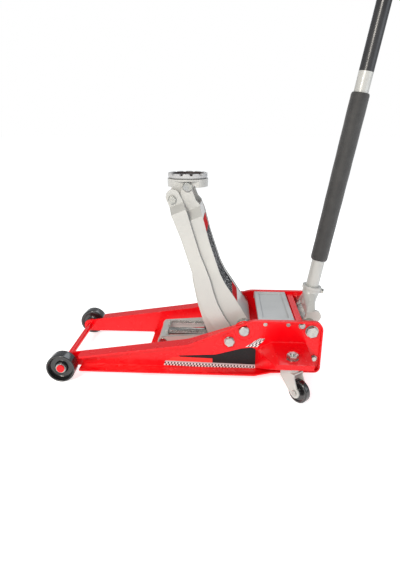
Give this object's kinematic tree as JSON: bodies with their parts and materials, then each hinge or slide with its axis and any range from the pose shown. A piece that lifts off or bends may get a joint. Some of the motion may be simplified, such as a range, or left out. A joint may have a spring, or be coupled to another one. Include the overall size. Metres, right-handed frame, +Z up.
{
  "type": "hydraulic trolley jack",
  "caption": "Low-profile hydraulic trolley jack, arm raised: flanged side plates, front rollers, rear swivel casters, notched saddle, ram linkage and a pump handle.",
  "frame": {"origin": "on the ground, at the middle of the jack's overall length and width", "axes": "+X to the rear (handle end), -X to the front wheels, +Y to the right side, +Z up"},
  "size_m": [0.8428, 0.4828, 1.2001],
  "materials": {
    "red_paint": "glossy red enamel on pressed steel",
    "grey_paint": "light grey enamel on the lift arm, bars and socket",
    "tray_paint": "light grey enamel on the tray cover",
    "black_paint": "black enamel on the handle tubes and hydraulic unit",
    "zinc": "zinc plated fasteners and shafts",
    "chromed_rod": "polished hard-chromed ram and plungers",
    "spring_steel": "bright spring wire",
    "wheel_iron": "cast iron roller wheels with worn treads",
    "saddle_iron": "cast saddle, painted grey",
    "rubber_pad": "black rubber",
    "foam": "closed-cell foam sleeve"
  },
  "bodies": {
    "chassis": {"left_side_plate": "red_paint", "right_side_plate": "red_paint", "left_caster_bracket": "red_paint", "right_caster_bracket": "red_paint", "front_axle": "red_paint", "front_axle_collars": "red_paint", "front_wheel_clips": "zinc", "front_cross_tie": "red_paint", "rear_spacer_bar": "red_paint", "rear_strap": "red_paint", "rear_cross_bolts": "zinc", "tray_cover": "tray_paint", "tray_screws": "zinc", "caster_studs": "zinc", "caster_nuts": "zinc", "hydraulic_cylinder": "black_paint", "oil_tank": "black_paint", "oil_tank_cap": "black_paint", "oil_filler_plug": "zinc", "pump_block": "black_paint", "pump_springs": "spring_steel", "arm_pivot_shaft": "zinc", "arm_pivot_spacers": "zinc", "levelling_bar_bolts": "zinc", "socket_bolts": "zinc"},
    "lift_arm": {"lift_arm": "grey_paint"},
    "levelling_bars": {"left_levelling_bar": "grey_paint", "right_levelling_bar": "grey_paint"},
    "saddle_bracket": {"saddle_bracket": "grey_paint", "saddle_pin": "zinc", "bracket_bolts": "zinc"},
    "saddle": {"saddle": "saddle_iron", "saddle_retaining_clip": "zinc", "saddle_pad": "rubber_pad"},
    "crosshead": {"crosshead": "grey_paint", "crosshead_pin": "zinc", "ram": "chromed_rod", "left_return_spring": "spring_steel", "right_return_spring": "spring_steel"},
    "pull_links": {"left_pull_link": "grey_paint", "right_pull_link": "grey_paint", "link_pins": "zinc"},
    "pump_plungers": {"pump_plungers": "chromed_rod"},
    "release_valve": {"release_valve": "zinc"},
    "handle_socket": {"handle_socket": "grey_paint", "pump_push_bar": "zinc", "handle_clamp_screw": "zinc"},
    "handle": {"lower_handle_tube": "grey_paint", "upper_handle_tube": "black_paint", "handle_spigot": "black_paint", "foam_sleeve": "foam", "hand_grip": "rubber_pad"},
    "left_front_wheel": {"left_front_wheel": "wheel_iron"},
    "right_front_wheel": {"right_front_wheel": "wheel_iron"},
    "left_caster_fork": {"left_caster_fork": "grey_paint", "left_caster_axle": "zinc"},
    "right_caster_fork": {"right_caster_fork": "grey_paint", "right_caster_axle": "zinc"},
    "left_caster_wheel": {"left_caster_wheel": "wheel_iron"},
    "right_caster_wheel": {"right_caster_wheel": "wheel_iron"}
  },
  "joints": [
    {"name": "arm_lift", "type": "hinge", "parent": "chassis", "child": "lift_arm", "pos_m": [0.07008, 0, 0.1273], "axis": [0, -1, 0], "range_deg": [0, 78.5]},
    {"name": "levelling_bars", "type": "hinge", "parent": "chassis", "child": "levelling_bars", "pos_m": [0.03408, 0, 0.0983], "axis": [0, -1, 0], "range_deg": [-0.5, 79]},
    {"name": "saddle_bracket_tilt", "type": "hinge", "parent": "lift_arm", "child": "saddle_bracket", "pos_m": [-0.07294, 0, 0.4706], "axis": [0, -1, 0], "range_deg": [-79, 0.5]},
    {"name": "saddle_turn", "type": "hinge", "parent": "saddle_bracket", "child": "saddle", "pos_m": [-0.07544, 0, 0.487], "axis": [0, 0, 1], "continuous": true},
    {"name": "ram_slide", "type": "slide", "parent": "chassis", "child": "crosshead", "axis": [1, 0, 0], "range_m": [-0.001, 0.0835], "deforming": ["left_return_spring", "right_return_spring"]},
    {"name": "pull_link_tilt", "type": "hinge", "parent": "crosshead", "child": "pull_links", "pos_m": [-0.14092, 0, 0.069], "axis": [0, 1, 0], "range_deg": [-0.3, 4.26]},
    {"name": "pump_stroke", "type": "hinge", "parent": "chassis", "child": "handle_socket", "pos_m": [0.23588, 0, 0.1305], "axis": [0, 1, 0], "range_deg": [-6, 45]},
    {"name": "plunger_slide", "type": "slide", "parent": "chassis", "child": "pump_plungers", "axis": [-1, 0, 0], "range_m": [-0.0045, 0.0295], "deforming": ["pump_springs"]},
    {"name": "handle_twist", "type": "hinge", "parent": "handle_socket", "child": "handle", "pos_m": [0.24083, 0, 0.16211], "axis": [0.1547, 0, 0.988], "range_deg": [-30, 90]},
    {"name": "release_valve_turn", "type": "hinge", "parent": "chassis", "child": "release_valve", "pos_m": [0.18808, 0, 0.07], "axis": [1, 0, 0], "range_deg": [-31, 91]},
    {"name": "left_front_wheel_spin", "type": "hinge", "parent": "chassis", "child": "left_front_wheel", "pos_m": [-0.38522, -0.1455, 0.0362], "axis": [0, 1, 0], "continuous": true},
    {"name": "right_front_wheel_spin", "type": "hinge", "parent": "chassis", "child": "right_front_wheel", "pos_m": [-0.38522, 0.1455, 0.0362], "axis": [0, 1, 0], "continuous": true},
    {"name": "left_caster_swivel", "type": "hinge", "parent": "chassis", "child": "left_caster_fork", "pos_m": [0.17908, -0.195, 0.08], "axis": [0, 0, 1], "continuous": true},
    {"name": "right_caster_swivel", "type": "hinge", "parent": "chassis", "child": "right_caster_fork", "pos_m": [0.17908, 0.195, 0.08], "axis": [0, 0, 1], "continuous": true},
    {"name": "left_caster_wheel_spin", "type": "hinge", "parent": "left_caster_fork", "child": "left_caster_wheel", "pos_m": [0.19579, -0.21492, 0.028], "axis": [0.766, 0.6428, 0], "continuous": true},
    {"name": "right_caster_wheel_spin", "type": "hinge", "parent": "right_caster_fork", "child": "right_caster_wheel", "pos_m": [0.19579, 0.21492, 0.028], "axis": [-0.766, 0.6428, 0], "continuous": true}
  ],
  "couplings": [
    {"joint": "levelling_bars", "follows": "arm_lift", "ratio": 1},
    {"joint": "saddle_bracket_tilt", "follows": "arm_lift", "ratio": -1},
    {"joint": "ram_slide", "follows": "arm_lift", "m_per_rad": 0.060015},
    {"joint": "pull_link_tilt", "follows": "arm_lift", "ratio": 0.050415},
    {"joint": "plunger_slide", "follows": "pump_stroke", "m_per_rad": 0.0365},
    {"joint": "release_valve_turn", "follows": "handle_twist", "ratio": 1}
  ]
}
